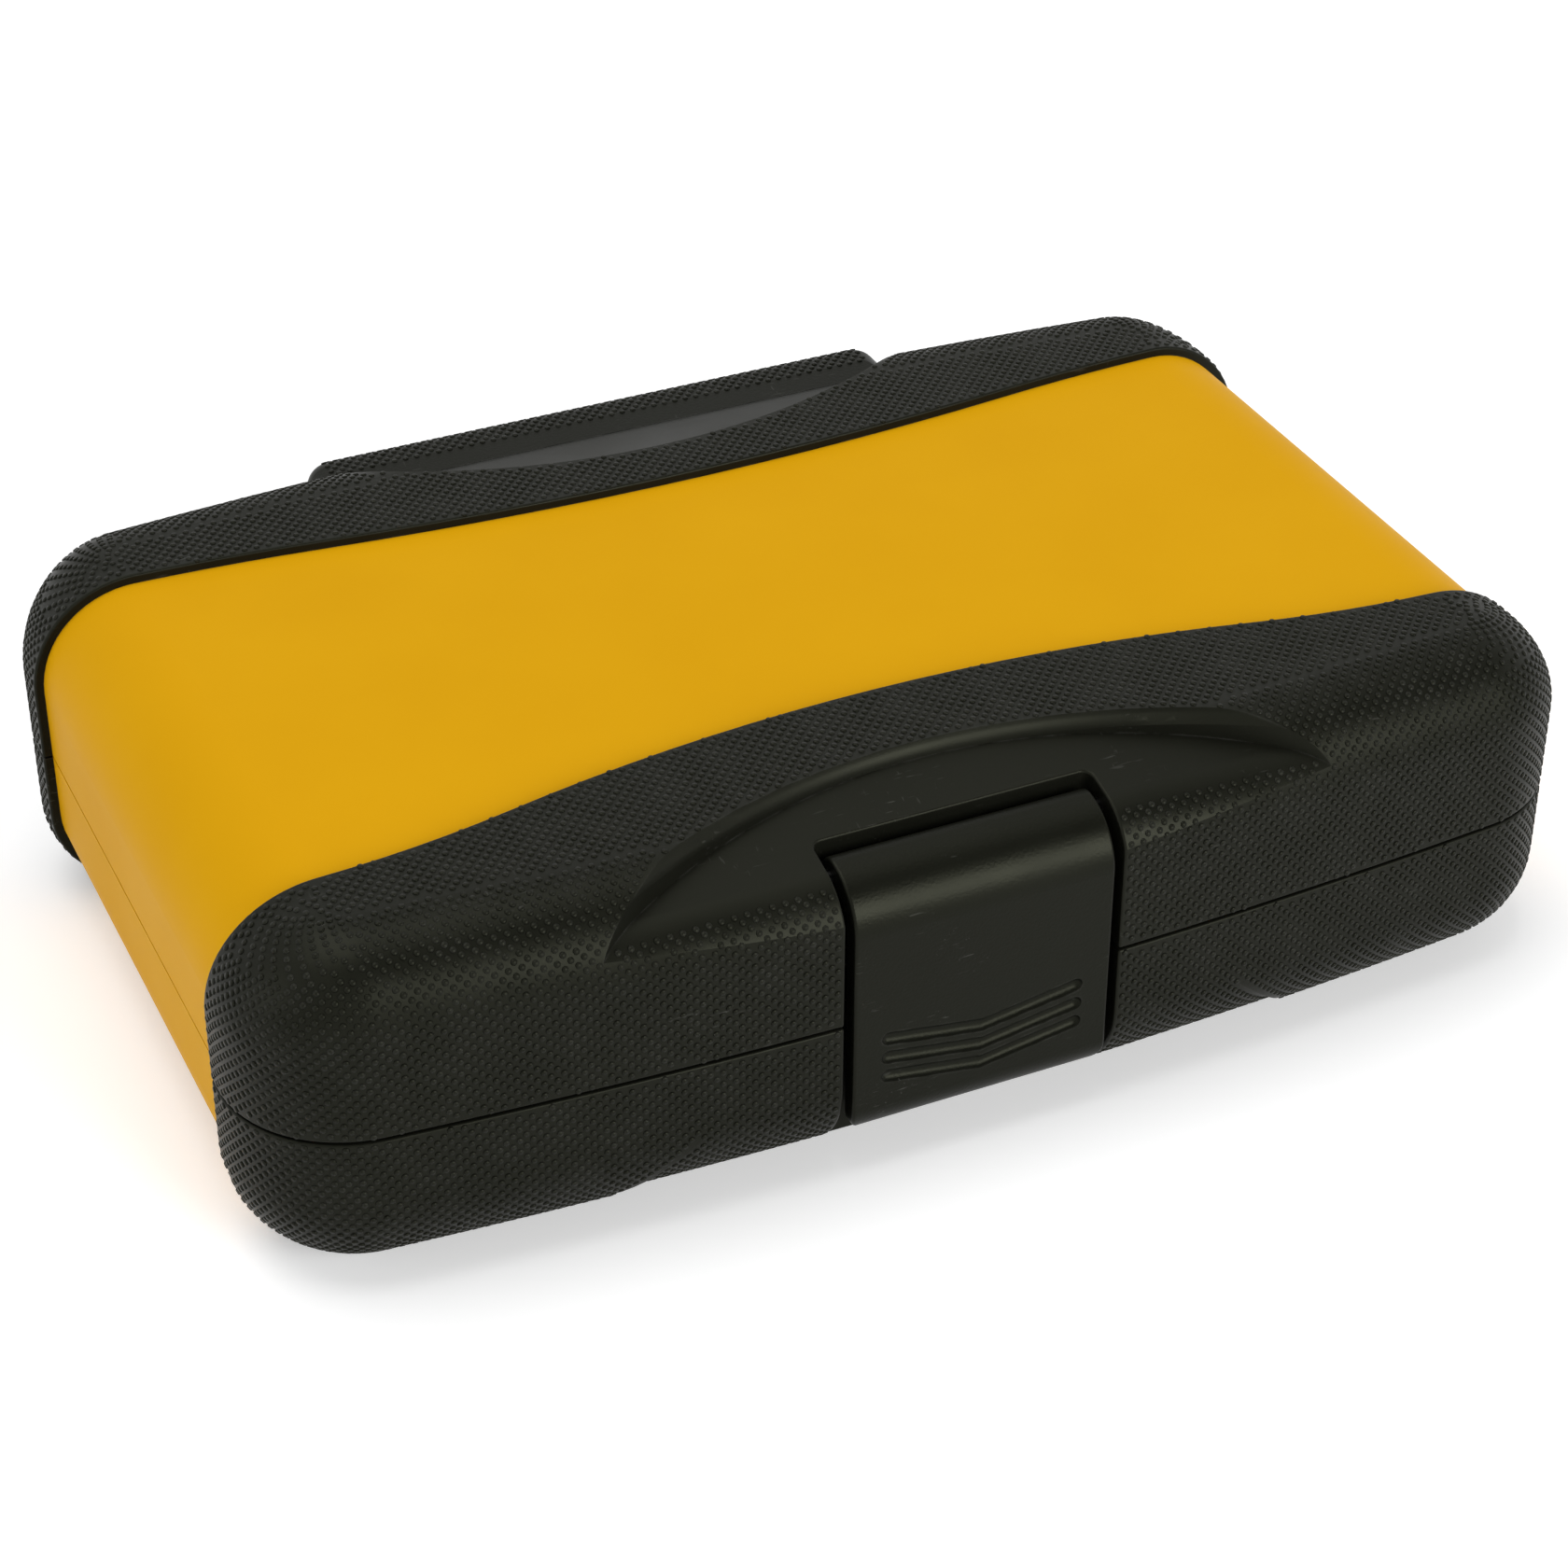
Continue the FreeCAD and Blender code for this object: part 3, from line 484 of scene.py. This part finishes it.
def dot_tree():
    """Seats a dot on the skin at each guide point where the skin is plain all round."""
    tree = bpy.data.node_groups.new("seated_grip_dots", "GeometryNodeTree")
    group_sockets(tree, {
        "Guides": "NodeSocketGeometry",
        "Skin": "NodeSocketObject",
        "Material": "NodeSocketMaterial",
        "Dot Diameter": "NodeSocketFloat",
        "Crown Diameter": "NodeSocketFloat",
        "Dot Height": "NodeSocketFloat",
        "Dot Sink": "NodeSocketFloat",
        "Dot Sides": "NodeSocketInt",
        "Clear Margin": "NodeSocketFloat",
        "Cast Reach": "NodeSocketFloat",
        "Level Slack": "NodeSocketFloat",
        "Nose Height": "NodeSocketFloat",
    }, {"Dots": "NodeSocketGeometry"})
    given = tree.nodes.new("NodeGroupInput").outputs
    skin = add_node(tree, "GeometryNodeObjectInfo", {"transform_space": "ORIGINAL"}, Object=given["Skin"])
    outward = named_attribute(tree, "outward", "FLOAT_VECTOR")
    along = named_attribute(tree, "along", "FLOAT_VECTOR")
    ray_length = scalar_math(tree, "MULTIPLY", given["Cast Reach"], 2)

    def cast(place, normal, aside=None):
        """Ray that meets the skin from outside, along a normal and beside a place."""
        start = vector_math(tree, "ADD", place, vector_math(tree, "SCALE", normal, given["Cast Reach"]))
        if aside:
            start = vector_math(tree, "ADD", start, aside)
        node = tree.nodes.new("GeometryNodeRaycast")
        tree.links.new(skin.outputs["Geometry"], node.inputs["Target Geometry"])
        tree.links.new(start, node.inputs["Source Position"])
        tree.links.new(vector_math(tree, "SCALE", normal, -1), node.inputs["Ray Direction"])
        tree.links.new(ray_length, node.inputs["Ray Length"])
        return node.outputs

    def met(ray, room):
        """True where a ray meets the skin and the skin lies no further off than the room."""
        offset = scalar_math(tree, "SUBTRACT", ray["Hit Distance"], given["Cast Reach"])
        near = scalar_math(tree, "LESS_THAN", scalar_math(tree, "ABSOLUTE", offset), room)
        return logic(tree, "AND", ray["Is Hit"], near)

    middle = cast(tree.nodes.new("GeometryNodeInputPosition").outputs[0], outward)
    seat, normal = middle["Hit Position"], middle["Hit Normal"]
    height = add_node(tree, "ShaderNodeSeparateXYZ", Vector=seat).outputs["Z"]
    on_nose = scalar_math(tree, "LESS_THAN", height, given["Nose Height"])
    nose_slack = scalar_math(tree, "MULTIPLY", on_nose, named_attribute(tree, "nose_slack", "FLOAT"))
    keep = met(middle, scalar_math(tree, "ADD", named_attribute(tree, "slack", "FLOAT"), nose_slack))
    across = vector_math(tree, "NORMALIZE", vector_math(tree, "CROSS_PRODUCT", normal, along))
    for tangent in (across, vector_math(tree, "CROSS_PRODUCT", across, normal)):
        for sign in (-1, 1):
            margin = scalar_math(tree, "MULTIPLY", given["Clear Margin"], sign)
            step = vector_math(tree, "SCALE", tangent, margin)
            keep = logic(tree, "AND", keep, met(cast(seat, normal, step), given["Level Slack"]))
    plain = add_node(tree, "GeometryNodeDeleteGeometry", {"domain": "POINT"},
                     Geometry=given["Guides"], Selection=logic(tree, "NOT", keep))
    seated = add_node(tree, "GeometryNodeSetPosition", Geometry=plain.outputs[0], Position=seat)

    cone = add_node(tree, "GeometryNodeMeshCone", {"fill_type": "NGON"}, Vertices=given["Dot Sides"],
                    Radius_Top=scalar_math(tree, "MULTIPLY", given["Crown Diameter"], 0.5),
                    Radius_Bottom=scalar_math(tree, "MULTIPLY", given["Dot Diameter"], 0.5),
                    Depth=scalar_math(tree, "ADD", given["Dot Height"], given["Dot Sink"]))
    rounded = add_node(tree, "GeometryNodeSetShadeSmooth", Geometry=cone.outputs["Mesh"],
                       Selection=scalar_math(tree, "ADD", cone.outputs["Top"], cone.outputs["Side"]))
    sunk = tree.nodes.new("ShaderNodeCombineXYZ")
    connect(tree, sunk.inputs["Z"], scalar_math(tree, "MULTIPLY", given["Dot Sink"], -1))
    rooted = add_node(tree, "GeometryNodeTransform", Geometry=rounded.outputs[0], Translation=sunk.outputs[0])
    turned = add_node(tree, "FunctionNodeAlignRotationToVector", {"axis": "Z"}, Vector=normal)
    placed = add_node(tree, "GeometryNodeInstanceOnPoints", Points=seated.outputs[0],
                      Instance=rooted.outputs[0], Rotation=turned.outputs[0])
    solid = add_node(tree, "GeometryNodeRealizeInstances", Geometry=placed.outputs[0])
    painted = add_node(tree, "GeometryNodeSetMaterial", Geometry=solid.outputs[0], Material=given["Material"])
    tree.links.new(painted.outputs[0], tree.nodes.new("NodeGroupOutput").inputs["Dots"])
    return tree


def guide_mesh(name, guides):
    """Loose points that carry their outward direction, their tangent and their slack."""
    mesh = bpy.data.meshes.new(name)
    mesh.from_pydata([guide[0] for guide in guides], [], [])
    for index, label in ((1, "outward"), (2, "along")):
        layer = mesh.attributes.new(label, "FLOAT_VECTOR", "POINT")
        layer.data.foreach_set("vector", [c for guide in guides for c in guide[index].normalized()])
    for index, label in ((3, "slack"), (4, "nose_slack")):
        layer = mesh.attributes.new(label, "FLOAT", "POINT")
        layer.data.foreach_set("value", [guide[index] for guide in guides])
    return mesh


def make_dots(name, skin, body, guides, grip, tree, material):
    """One piece with all the dots of one skin."""
    guide = bpy.data.objects.new(name + "_guide", guide_mesh(name + "_guide", guides))
    bpy.context.scene.collection.objects.link(guide)
    modifier = guide.modifiers.new("dots", "NODES")
    modifier.node_group = tree
    values = {
        "Skin": nodes[skin],
        "Material": material,
        "Dot Diameter": grip.dot_diameter,
        "Crown Diameter": grip.crown_diameter,
        "Dot Height": grip.dot_height,
        "Dot Sink": grip.dot_sink,
        "Dot Sides": grip.dot_sides,
        "Clear Margin": grip.clear_margin,
        "Cast Reach": CAST_REACH,
        "Level Slack": LEVEL_SLACK,
        "Nose Height": NOSE_HEIGHT,
    }
    for item in tree.interface.items_tree:
        if item.in_out == "INPUT" and item.name in values:
            modifier[item.identifier] = values[item.name]
    evaluated = guide.evaluated_get(bpy.context.evaluated_depsgraph_get())
    mesh = bpy.data.meshes.new_from_object(evaluated)
    mesh.name = name
    bpy.data.objects.remove(guide)
    piece = bpy.data.objects.new(name, mesh)
    bpy.context.scene.collection.objects.link(piece)
    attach(piece, body)
    return piece


# Shader node groups
def shader_group(name, inputs, outputs):
    """New shader group, with the outputs of its input node and the inputs of its output node."""
    tree = bpy.data.node_groups.new(name, "ShaderNodeTree")
    group_sockets(tree, {socket: "NodeSocketFloat" for socket in inputs},
                  {socket: "NodeSocketFloat" for socket in outputs})
    return tree, tree.nodes.new("NodeGroupInput").outputs, tree.nodes.new("NodeGroupOutput").inputs


def object_noise(tree, size, detail, turn=None, stretch=None):
    """Noise of a given feature size on object coordinates, turned and stretched if wanted."""
    place = tree.nodes.new("ShaderNodeTexCoord").outputs["Object"]
    if turn:
        place = add_node(tree, "ShaderNodeMapping", Vector=place, Rotation=turn, Scale=stretch).outputs[0]
    scale = scalar_math(tree, "DIVIDE", 1.0, size)
    noise = add_node(tree, "ShaderNodeTexNoise", Vector=place, Scale=scale, Detail=detail)
    return noise.outputs["Fac"]


def ramp(tree, value, limits):
    """Value spread from 0 to 1 between two limits."""
    low, high = limits
    return add_node(tree, "ShaderNodeMapRange", Value=value, From_Min=low, From_Max=high).outputs[0]


def spread(tree, value, limits):
    """Value from 0 to 1 spread between two limits."""
    low, high = limits
    return add_node(tree, "ShaderNodeMapRange", Value=value, To_Min=low, To_Max=high).outputs[0]


def grain_group():
    """Moulded grain: a fine height and a broad soft tone."""
    tree, given, out = shader_group("moulded_grain", ("Grain Size", "Tone Size"), ("Height", "Tone"))
    tree.links.new(object_noise(tree, given["Grain Size"], GRAIN_DETAIL), out["Height"])
    tone = object_noise(tree, given["Tone Size"], TONE_DETAIL)
    tree.links.new(ramp(tree, tone, TONE_LIMITS), out["Tone"])
    return tree


def wear_group():
    """Broken wear along outer edges."""
    tree, given, out = shader_group("edge_wear", ("Edge Width", "Patch Size"), ("Mask",))
    bevel = add_node(tree, "ShaderNodeBevel", {"samples": EDGE_SAMPLES}, Radius=given["Edge Width"])
    flat = tree.nodes.new("ShaderNodeNewGeometry").outputs["Normal"]
    bend = scalar_math(tree, "SUBTRACT", 1.0, vector_math(tree, "DOT_PRODUCT", bevel.outputs[0], flat))
    patch = ramp(tree, object_noise(tree, given["Patch Size"], PATCH_DETAIL), PATCH_LIMITS)
    tree.links.new(scalar_math(tree, "MULTIPLY", ramp(tree, bend, EDGE_LIMITS), patch), out["Mask"])
    return tree


def scuff_group():
    """Fine short rub marks in scattered patches."""
    tree, given, out = shader_group("rub_marks", ("Mark Size", "Patch Size"), ("Mask",))
    first, second = [ramp(tree, object_noise(tree, given["Mark Size"], MARK_DETAIL, turn, stretch), limits)
                     for turn, stretch, limits in RUB_DIRECTIONS]
    patch = ramp(tree, object_noise(tree, given["Patch Size"], RUB_DETAIL), RUB_LIMITS)
    marks = scalar_math(tree, "MAXIMUM", first, second)
    tree.links.new(scalar_math(tree, "MULTIPLY", marks, patch), out["Mask"])
    return tree


GROUP_MAKERS = {"moulded_grain": grain_group, "edge_wear": wear_group, "rub_marks": scuff_group}


def place_group(tree, name, **inputs):
    """Shared effect placed in a material, built the first time it is needed."""
    shared = bpy.data.node_groups.get(name) or GROUP_MAKERS[name]()
    node = tree.nodes.new("ShaderNodeGroup")
    node.node_tree = shared
    for socket, value in inputs.items():
        node.inputs[socket.replace("_", " ")].default_value = value
    return node.outputs


# Materials
def opaque(colour):
    """Colour with full cover."""
    return (*colour, 1.0)


def new_material(name):
    """New material with its tree and its shader."""
    material = bpy.data.materials.new(name)
    material.use_nodes = True
    return material, material.node_tree, material.node_tree.nodes["Principled BSDF"]


def add_texture(tree, shader, size, look):
    """Grain of a given size on roughness and normal; gives the tone of its clouds."""
    grain = place_group(tree, "moulded_grain", Grain_Size=size, Tone_Size=look["clouds"])
    tree.links.new(spread(tree, grain["Tone"], look["roughness"]), shader.inputs["Roughness"])
    bump = add_node(tree, "ShaderNodeBump", Height=grain["Height"],
                    Distance=look["bump_depth"], Strength=look["bump_share"])
    tree.links.new(bump.outputs[0], shader.inputs["Normal"])
    return grain["Tone"]


def worn_mask(tree, width, look):
    """Wear along the edges."""
    wear = place_group(tree, "edge_wear", Edge_Width=width, Patch_Size=look["patches"])
    return scalar_math(tree, "MULTIPLY", wear["Mask"], look["worn_share"])


def rubbed_mask(tree, width, look):
    """Wear along the edges together with rub marks on the faces."""
    marks = place_group(tree, "rub_marks", Mark_Size=look["marks"], Patch_Size=look["mark_patches"])
    marked = scalar_math(tree, "MULTIPLY", marks["Mask"], look["marked_share"])
    return scalar_math(tree, "MAXIMUM", worn_mask(tree, width, look), marked)


def shell_plastic(finish):
    """Satin yellow plastic with a fine moulded grain, faint clouds and paler edges."""
    material, tree, shader = new_material("shell_plastic")
    shader.inputs["Specular IOR Level"].default_value = SHELL["sheen"]
    tone = add_texture(tree, shader, finish.shell_grain, SHELL)
    colour = blended(tree, tone, opaque(finish.shell_colour), opaque(finish.shell_shade))
    worn = worn_mask(tree, finish.edge_width, SHELL)
    tree.links.new(blended(tree, worn, colour, opaque(finish.shell_wear)), shader.inputs["Base Color"])
    return material


def grip_rubber(finish):
    """Dull black rubber with a fine grain, rubbed grey along its edges."""
    material, tree, shader = new_material("grip_rubber")
    shader.inputs["Specular IOR Level"].default_value = RUBBER["sheen"]
    shader.inputs["Specular Tint"].default_value = opaque(finish.black_sheen)
    tone = add_texture(tree, shader, finish.rubber_grain, RUBBER)
    colour = blended(tree, tone, opaque(finish.rubber_colour), opaque(finish.rubber_shade))
    rubbed = rubbed_mask(tree, finish.edge_width, RUBBER)
    tree.links.new(blended(tree, rubbed, colour, opaque(finish.rubber_wear)), shader.inputs["Base Color"])
    return material


def latch_plastic(finish):
    """Satin black plastic with a spark-eroded grain and a few rub marks."""
    material, tree, shader = new_material("latch_plastic")
    shader.inputs["Specular IOR Level"].default_value = LATCH["sheen"]
    shader.inputs["Specular Tint"].default_value = opaque(finish.black_sheen)
    add_texture(tree, shader, finish.latch_grain, LATCH)
    rubbed = rubbed_mask(tree, finish.edge_width, LATCH)
    colour = blended(tree, rubbed, opaque(finish.latch_colour), opaque(finish.rubber_wear))
    tree.links.new(colour, shader.inputs["Base Color"])
    return material


def tray_plastic(finish):
    """Dull dark grey plastic of the tray."""
    material, tree, shader = new_material("tray_plastic")
    add_texture(tree, shader, finish.shell_grain, TRAY)
    worn = worn_mask(tree, finish.edge_width, TRAY)
    colour = blended(tree, worn, opaque(finish.tray_colour), opaque(finish.rubber_wear))
    tree.links.new(colour, shader.inputs["Base Color"])
    return material


def drawn_steel(name, colour):
    """Steel of the pins and screws with faint drawing marks."""
    material, tree, shader = new_material(name)
    shader.inputs["Base Color"].default_value = opaque(colour)
    shader.inputs["Metallic"].default_value = 1.0
    add_texture(tree, shader, STEEL["grain"], STEEL)
    return material


def paint(material, *names):
    """Gives CAD nodes a material."""
    for name in names:
        mesh = nodes[name].data
        mesh.materials.clear()
        mesh.materials.append(material)


def rubber_material(context):
    """Rubber of the bumpers, made the first time it is needed."""
    return bpy.data.materials.get("grip_rubber") or grip_rubber(context.scene.case_finish)


def latch_material(context):
    """Plastic of the latch, made the first time it is needed."""
    return bpy.data.materials.get("latch_plastic") or latch_plastic(context.scene.case_finish)


# Operators
class CASE_OT_finish_shells(bpy.types.Operator):
    """Finish the two yellow shells"""

    bl_idname = "case.finish_shells"
    bl_label = "Shells"

    def execute(self, context):
        paint(shell_plastic(context.scene.case_finish), "lid_shell", "base_shell")
        return {"FINISHED"}


class CASE_OT_finish_bumpers(bpy.types.Operator):
    """Finish the black grip bumpers"""

    bl_idname = "case.finish_bumpers"
    bl_label = "Bumpers"

    def execute(self, context):
        paint(rubber_material(context), "lid_front_bumper", "lid_rear_bumper",
              "base_front_bumper", "base_rear_bumper")
        return {"FINISHED"}


class CASE_OT_grip_dots(bpy.types.Operator):
    """Seat the grip dots on the bumpers and the lid's hinge block"""

    bl_idname = "case.grip_dots"
    bl_label = "Grip Dots"

    def execute(self, context):
        grip = context.scene.case_grip
        tree = dot_tree()
        rubber = rubber_material(context)
        for where, facing in (("front", -1), ("rear", 1)):
            for body, up, shoulder, end_shoulder in (
                    ("lid", 1, LID_LONG_SHOULDER, LID_END_SHOULDER),
                    ("base", -1, BASE_SHOULDER, BASE_SHOULDER)):
                skin = body + "_" + where + "_bumper"
                half = Half(skin, facing, up, shoulder, end_shoulder)
                guides = wall_guides(half, grip)
                if up > 0:
                    guides += flat_guides(half, grip)
                elif facing < 0:
                    guides = [guide for guide in guides if abs(guide[0].x) > POCKET_HALF]
                guides = thinned(guides, grip.least_gap)
                make_dots(body + "_" + where + "_grip_dots", skin, body, guides, grip, tree, rubber)
        make_dots("lid_hinge_grip_dots", "lid_hinge_block", "lid", block_guides(grip), grip, tree,
                  latch_material(context))
        return {"FINISHED"}


class CASE_OT_finish_latch(bpy.types.Operator):
    """Finish the latch and its keeper"""

    bl_idname = "case.finish_latch"
    bl_label = "Latch"

    def execute(self, context):
        paint(latch_material(context), "latch", "latch_keeper")
        return {"FINISHED"}


class CASE_OT_finish_hinge(bpy.types.Operator):
    """Finish the hinge blocks, the pins and the screws"""

    bl_idname = "case.finish_hinge"
    bl_label = "Hinge, Pins and Screws"

    def execute(self, context):
        paint(latch_material(context), "lid_hinge_block", "base_hinge_block")
        finish = context.scene.case_finish
        paint(drawn_steel("bright_steel", finish.steel_colour), "hinge_pin",
              "lid_hinge_screws", "base_hinge_screws", "tray_screws")
        paint(drawn_steel("black_steel", finish.pin_colour), "latch_pin")
        return {"FINISHED"}


class CASE_OT_finish_tray(bpy.types.Operator):
    """Finish the tool tray"""

    bl_idname = "case.finish_tray"
    bl_label = "Tool Tray"

    def execute(self, context):
        paint(tray_plastic(context.scene.case_finish), "tool_tray")
        return {"FINISHED"}


class CASE_OT_stage(bpy.types.Operator):
    """Set up the floor, the lights and the camera"""

    bl_idname = "case.stage"
    bl_label = "Stage"

    def execute(self, context):
        stage = context.scene.case_stage
        context.scene.view_settings.view_transform = "Standard"
        make_floor(stage)
        make_panel()
        make_world(context.scene, stage)
        make_lights()
        context.scene.camera = make_camera(stage)
        return {"FINISHED"}


# Stage
def seen_share(tree):
    """1 for rays that show the background: straight from the camera, mirrored or through glass."""
    path = tree.nodes.new("ShaderNodeLightPath").outputs
    seen = scalar_math(tree, "MAXIMUM", path["Is Camera Ray"], path["Is Glossy Ray"])
    return scalar_math(tree, "MAXIMUM", seen, path["Is Transmission Ray"])


def stage_plate(name, half_x, half_y, colour):
    """Matt plate of the stage, with its material's tree and shader."""
    corners = [(-half_x, -half_y, 0), (half_x, -half_y, 0), (half_x, half_y, 0), (-half_x, half_y, 0)]
    mesh = bpy.data.meshes.new(name)
    mesh.from_pydata(corners, [], [tuple(range(len(corners)))])
    plate = bpy.data.objects.new(name, mesh)
    bpy.context.scene.collection.objects.link(plate)
    material, tree, shader = new_material(name)
    shader.inputs["Base Color"].default_value = opaque(colour)
    shader.inputs["Roughness"].default_value = MATT_ROUGHNESS
    shader.inputs["Specular IOR Level"].default_value = 0
    mesh.materials.append(material)
    return plate, tree, shader


def make_floor(stage):
    """Pale floor that keeps the shadow of the case."""
    half = stage.floor_size / 2
    _, tree, shader = stage_plate("studio_floor", half, half, stage.floor_colour)
    shader.inputs["Emission Color"].default_value = WHITE
    glow = scalar_math(tree, "MULTIPLY", seen_share(tree), FLOOR_GLOW)
    tree.links.new(glow, shader.inputs["Emission Strength"])


def make_panel():
    """Dark ceiling panel above the front, mirrored in the shoulders of the case."""
    panel, _, _ = stage_plate("dark_panel", *PANEL_HALF_SIZE, PANEL_COLOUR)
    panel.location = PANEL_PLACE
    panel.rotation_euler = (PANEL_TILT, 0, 0)


def make_world(scene, stage):
    """White surroundings, dimmer as a light than as a background."""
    world = bpy.data.worlds.new("studio")
    scene.world = world
    world.use_nodes = True
    tree = world.node_tree
    background = tree.nodes["Background"]
    background.inputs["Color"].default_value = WHITE
    strength = spread(tree, seen_share(tree), (stage.ambient, 1.0))
    tree.links.new(strength, background.inputs["Strength"])


def make_lights():
    """Soft square lamps that face the case."""
    for name, (place, size, power) in LAMPS.items():
        lamp = bpy.data.lights.new(name, "AREA")
        lamp.shape = "SQUARE"
        lamp.size = size
        lamp.energy = power
        light = bpy.data.objects.new(name, lamp)
        bpy.context.scene.collection.objects.link(light)
        light.location = place
        light.rotation_mode = "QUATERNION"
        light.rotation_quaternion = (Vector(LAMP_TARGET) - Vector(place)).to_track_quat("-Z", "Y")


def make_camera(stage):
    """Camera on its azimuth and elevation about the target."""
    azimuth, elevation = stage.camera_azimuth, stage.camera_elevation
    back = Vector((math.sin(azimuth) * math.cos(elevation),
                   -math.cos(azimuth) * math.cos(elevation),
                   math.sin(elevation)))
    data = bpy.data.cameras.new("photo_camera")
    data.lens = stage.camera_lens
    data.sensor_width = SENSOR_WIDTH
    data.clip_start = NEAR_CLIP
    camera = bpy.data.objects.new("photo_camera", data)
    bpy.context.scene.collection.objects.link(camera)
    right = Vector((0, 0, 1)).cross(back).normalized()
    upward = back.cross(right)
    turn = Matrix((right, upward, back)).transposed().to_4x4()
    roll = Matrix.Rotation(stage.camera_roll, 4, "Z")
    place = Matrix.Translation(Vector(stage.camera_target) + back * stage.camera_distance)
    camera.matrix_world = place @ turn @ roll
    return camera


class CASE_PT_panel(bpy.types.Panel):
    """Sidebar panel with the settings and the steps of the finish"""

    bl_idname = "CASE_PT_panel"
    bl_label = "Tool Case"
    bl_space_type = "VIEW_3D"
    bl_region_type = "UI"
    bl_category = "Tool Case"

    def draw(self, context):
        for settings in (context.scene.case_grip, context.scene.case_finish, context.scene.case_stage):
            column = self.layout.column()
            for name in settings.__annotations__:
                column.prop(settings, name)
        for operator in OPERATORS:
            self.layout.operator(operator.bl_idname)


SETTINGS = {"case_grip": GripSettings, "case_finish": FinishSettings, "case_stage": StageSettings}
OPERATORS = (
    CASE_OT_finish_shells,
    CASE_OT_finish_bumpers,
    CASE_OT_grip_dots,
    CASE_OT_finish_latch,
    CASE_OT_finish_hinge,
    CASE_OT_finish_tray,
    CASE_OT_stage,
)
CLASSES = (*SETTINGS.values(), *OPERATORS, CASE_PT_panel)


def register():
    for item in CLASSES:
        bpy.utils.register_class(item)
    for name, group in SETTINGS.items():
        setattr(bpy.types.Scene, name, bpy.props.PointerProperty(type=group))


def unregister():
    for name in SETTINGS:
        delattr(bpy.types.Scene, name)
    for item in reversed(CLASSES):
        bpy.utils.unregister_class(item)


def main():
    """Runs every step of the finish."""
    register()
    bpy.ops.case.finish_shells()
    bpy.ops.case.finish_bumpers()
    bpy.ops.case.grip_dots()
    bpy.ops.case.finish_latch()
    bpy.ops.case.finish_hinge()
    bpy.ops.case.finish_tray()
    bpy.ops.case.stage()


if __name__ == "__main__":
    main()
